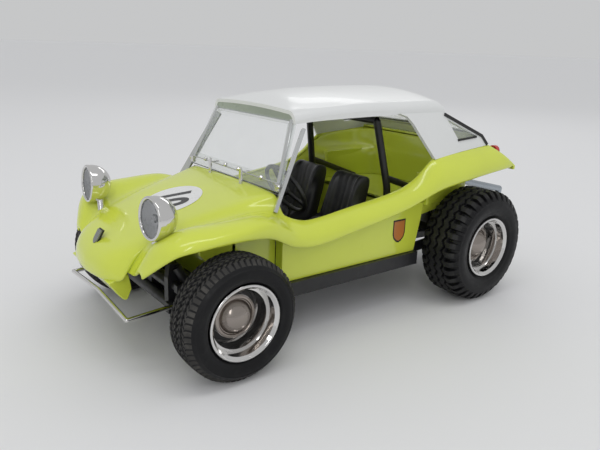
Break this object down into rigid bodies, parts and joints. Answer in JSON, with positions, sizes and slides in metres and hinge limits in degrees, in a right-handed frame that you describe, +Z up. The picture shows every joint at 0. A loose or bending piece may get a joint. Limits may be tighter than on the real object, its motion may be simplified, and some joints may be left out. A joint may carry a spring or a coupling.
{
  "type": "dune buggy scale model",
  "caption": "Scale model of an open dune buggy with domed fenders, upright windscreen, hardtop, pod headlamps, exposed rear engine and turning wheels.",
  "frame": {"origin": "on the ground under the middle of the overall length and width", "axes": "-Y towards the nose, +X towards the car's left (driver's) side, +Z up"},
  "size_m": [0.0694, 0.1291, 0.0588],
  "materials": {
    "body_yellow": "gloss",
    "hardtop_white": "satin",
    "clear_plastic": "clear",
    "tyre": "matte",
    "chrome": "polished",
    "lens": "clear",
    "tail_lamp": "gloss",
    "engine_metal": "satin",
    "black_plastic": "satin"
  },
  "bodies": {
    "chassis": {"air_cleaner": "black_plastic", "body_front": "body_yellow", "body_rear": "body_yellow", "body_side_left": "body_yellow", "body_side_right": "body_yellow", "cylinder_banks": "engine_metal", "dashboard": "black_plastic", "engine_case": "engine_metal", "exhaust": "chrome", "fan_shroud": "black_plastic", "floor_pan": "black_plastic", "frame_fork": "black_plastic", "front_beam": "black_plastic", "front_bumper": "chrome", "front_shocks": "black_plastic", "front_spindle_left": "black_plastic", "front_spindle_right": "black_plastic", "gear_lever": "black_plastic", "generator": "black_plastic", "hardtop": "hardtop_white", "headlamp_left": "chrome", "headlamp_lenses": "lens", "headlamp_right": "chrome", "quarter_windows": "clear_plastic", "rear_axle": "black_plastic", "rear_guard": "chrome", "rear_window": "clear_plastic", "roll_hoop": "black_plastic", "seat_left": "black_plastic", "seat_right": "black_plastic", "steering_wheel": "black_plastic", "tail_lamps": "tail_lamp", "tie_rod": "black_plastic", "transaxle": "engine_metal", "windscreen_frame": "clear_plastic", "windscreen_glass": "clear_plastic", "windscreen_posts": "chrome"},
    "wheel_front_left": {"tyre_front_left": "tyre", "rim_front_left": "chrome", "hub_cap_front_left": "chrome"},
    "wheel_front_right": {"tyre_front_right": "tyre", "rim_front_right": "chrome", "hub_cap_front_right": "chrome"},
    "wheel_rear_left": {"tyre_rear_left": "tyre", "rim_rear_left": "chrome", "hub_cap_rear_left": "chrome"},
    "wheel_rear_right": {"tyre_rear_right": "tyre", "rim_rear_right": "chrome", "hub_cap_rear_right": "chrome"}
  },
  "joints": [
    {"name": "wheel_front_left_spin", "type": "hinge", "parent": "chassis", "child": "wheel_front_left", "pos_m": [0.0282, -0.0423, 0.0138], "axis": [1, 0, 0], "continuous": true},
    {"name": "wheel_front_right_spin", "type": "hinge", "parent": "chassis", "child": "wheel_front_right", "pos_m": [-0.0282, -0.0423, 0.0138], "axis": [1, 0, 0], "continuous": true},
    {"name": "wheel_rear_left_spin", "type": "hinge", "parent": "chassis", "child": "wheel_rear_left", "pos_m": [0.0282, 0.039, 0.016], "axis": [1, 0, 0], "continuous": true},
    {"name": "wheel_rear_right_spin", "type": "hinge", "parent": "chassis", "child": "wheel_rear_right", "pos_m": [-0.0282, 0.039, 0.016], "axis": [1, 0, 0], "continuous": true}
  ]
}
